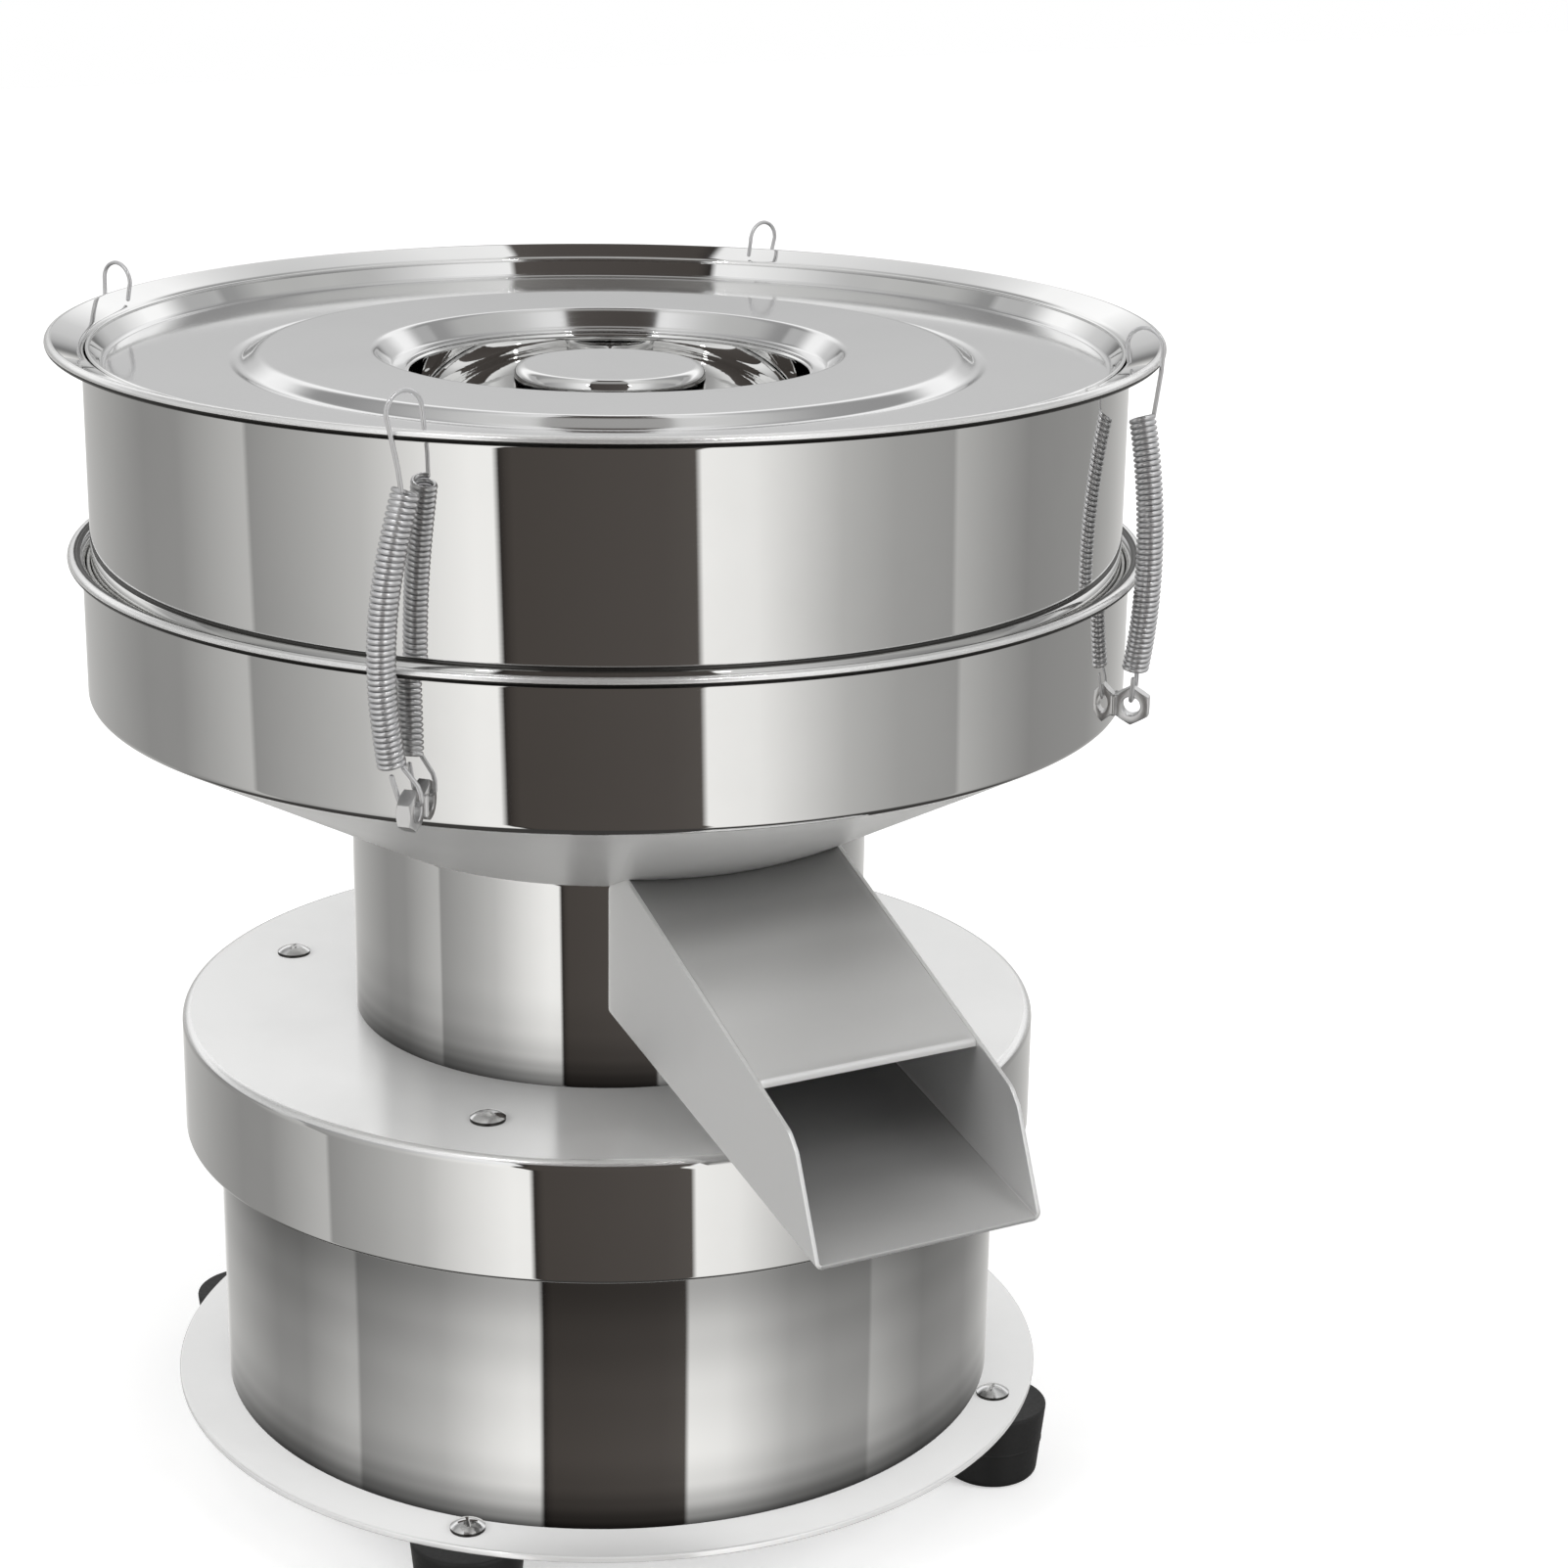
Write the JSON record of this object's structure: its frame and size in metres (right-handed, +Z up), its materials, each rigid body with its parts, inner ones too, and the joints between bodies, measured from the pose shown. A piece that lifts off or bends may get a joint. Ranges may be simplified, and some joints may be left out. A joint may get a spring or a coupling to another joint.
{
  "type": "vibrating sieve",
  "caption": "Tabletop vibrating powder sieve: round hopper with sunk-knob lid, spring latches, bowl with front chute and a drum base on rubber feet.",
  "frame": {"origin": "on the floor, on the vertical axis of the drums, in the middle of the four feet", "axes": "+Z up, -Y towards the discharge chute, +X to the right of someone who faces the chute from behind it"},
  "size_m": [0.328, 0.3578, 0.3671],
  "materials": {
    "polished_steel": "mirror-polished stainless sheet",
    "satin_steel": "bright stainless sheet with a fine grain",
    "lid_steel": "bright pressed stainless sheet",
    "mesh_steel": "fine woven stainless wire",
    "spring_wire": "bright drawn spring wire",
    "zinc_steel": "zinc-plated steel",
    "motor_grey": "grey enamel on castings",
    "lamination": "stacked steel laminations",
    "black_rubber": "matt moulded rubber",
    "silicone": "pale silicone",
    "black_plastic": "fine-textured moulded plastic",
    "rocker_plastic": "glossy moulded plastic",
    "capacitor_shell": "moulded plastic can"
  },
  "bodies": {
    "base": {"base_plate": "satin_steel", "base_drum": "polished_steel", "foot_screws": "zinc_steel", "spring_posts": "zinc_steel", "cable_gland": "black_plastic", "switch_bezel": "black_plastic", "capacitor": "capacitor_shell", "capacitor_clip": "satin_steel", "foot_1": "black_rubber", "foot_2": "black_rubber", "foot_3": "black_rubber", "foot_4": "black_rubber", "support_spring_1": "spring_wire", "support_spring_2": "spring_wire", "support_spring_3": "spring_wire", "support_spring_4": "spring_wire"},
    "sieve_body": {"table": "polished_steel", "table_screws": "zinc_steel", "spring_seats": "zinc_steel", "neck": "polished_steel", "powder_floor": "satin_steel", "bowl": "polished_steel", "screen_ledge": "satin_steel", "chute_trough": "satin_steel", "chute_cover": "satin_steel", "screen_frame": "satin_steel", "screen_mesh": "mesh_steel", "seal_ring": "silicone", "hopper": "polished_steel", "latch_nuts": "satin_steel", "motor_housing": "motor_grey", "motor_top_cover": "motor_grey", "motor_end_cover": "motor_grey", "motor_bolts": "zinc_steel", "motor_stator": "lamination", "upper_bearing": "zinc_steel", "lower_bearing": "zinc_steel"},
    "rotor": {"motor_shaft": "zinc_steel", "rotor_core": "lamination", "upper_weight": "zinc_steel", "lower_weight": "zinc_steel", "weight_screws": "zinc_steel"},
    "lid": {"lid_panel": "lid_steel", "lid_dish": "polished_steel", "lid_knob": "polished_steel", "knob_screw": "zinc_steel"},
    "rocker": {"switch_rocker": "rocker_plastic"},
    "latch_1": {"latch_eye_1": "spring_wire", "latch_coil_1": "spring_wire"},
    "hook_1": {"latch_hook_1": "spring_wire"},
    "latch_2": {"latch_eye_2": "spring_wire", "latch_coil_2": "spring_wire"},
    "hook_2": {"latch_hook_2": "spring_wire"},
    "latch_3": {"latch_eye_3": "spring_wire", "latch_coil_3": "spring_wire"},
    "hook_3": {"latch_hook_3": "spring_wire"},
    "latch_4": {"latch_eye_4": "spring_wire", "latch_coil_4": "spring_wire"},
    "hook_4": {"latch_hook_4": "spring_wire"}
  },
  "joints": [
    {"name": "sieve_bounce", "type": "slide", "parent": "base", "child": "sieve_body", "axis": [0, 0, 1], "range_m": [-0.004, 0.004], "stiffness_N_per_m": 16000, "springref_m": 0.00625, "deforming": ["support_spring_1", "support_spring_2", "support_spring_3", "support_spring_4"]},
    {"name": "rotor_spin", "type": "hinge", "parent": "sieve_body", "child": "rotor", "pos_m": [0, 0, 0.105], "axis": [0, 0, 1], "continuous": true},
    {"name": "lid_lift", "type": "slide", "parent": "sieve_body", "child": "lid", "axis": [0, 0, 1], "range_m": [0, 0.12]},
    {"name": "switch_rock", "type": "hinge", "parent": "base", "child": "rocker", "pos_m": [-0.03184, 0.11881, 0.058], "axis": [0.9659, 0.2588, 0], "range_deg": [0, 20]},
    {"name": "latch_swing_1", "type": "hinge", "parent": "sieve_body", "child": "latch_1", "pos_m": [0.11388, 0.11388, 0.2573], "axis": [-0.7071, 0.7071, 0], "range_deg": [0, 9.1]},
    {"name": "latch_stretch_1", "type": "slide", "parent": "latch_1", "child": "hook_1", "axis": [0, 0, 1], "range_m": [0, 0.024], "stiffness_N_per_m": 400, "springref_m": -0.012, "deforming": ["latch_coil_1"]},
    {"name": "latch_swing_2", "type": "hinge", "parent": "sieve_body", "child": "latch_2", "pos_m": [-0.11388, 0.11388, 0.2573], "axis": [-0.7071, -0.7071, 0], "range_deg": [0, 9.1]},
    {"name": "latch_stretch_2", "type": "slide", "parent": "latch_2", "child": "hook_2", "axis": [0, 0, 1], "range_m": [0, 0.024], "stiffness_N_per_m": 400, "springref_m": -0.012, "deforming": ["latch_coil_2"]},
    {"name": "latch_swing_3", "type": "hinge", "parent": "sieve_body", "child": "latch_3", "pos_m": [-0.11388, -0.11388, 0.2573], "axis": [0.7071, -0.7071, 0], "range_deg": [0, 9.1]},
    {"name": "latch_stretch_3", "type": "slide", "parent": "latch_3", "child": "hook_3", "axis": [0, 0, 1], "range_m": [0, 0.024], "stiffness_N_per_m": 400, "springref_m": -0.012, "deforming": ["latch_coil_3"]},
    {"name": "latch_swing_4", "type": "hinge", "parent": "sieve_body", "child": "latch_4", "pos_m": [0.11388, -0.11388, 0.2573], "axis": [0.7071, 0.7071, 0], "range_deg": [0, 9.1]},
    {"name": "latch_stretch_4", "type": "slide", "parent": "latch_4", "child": "hook_4", "axis": [0, 0, 1], "range_m": [0, 0.024], "stiffness_N_per_m": 400, "springref_m": -0.012, "deforming": ["latch_coil_4"]}
  ],
  "couplings": [
    {"joint": "latch_swing_1", "follows": "latch_stretch_1", "rad_per_m": 6.545},
    {"joint": "latch_swing_2", "follows": "latch_stretch_2", "rad_per_m": 6.545},
    {"joint": "latch_swing_3", "follows": "latch_stretch_3", "rad_per_m": 6.545},
    {"joint": "latch_swing_4", "follows": "latch_stretch_4", "rad_per_m": 6.545}
  ]
}
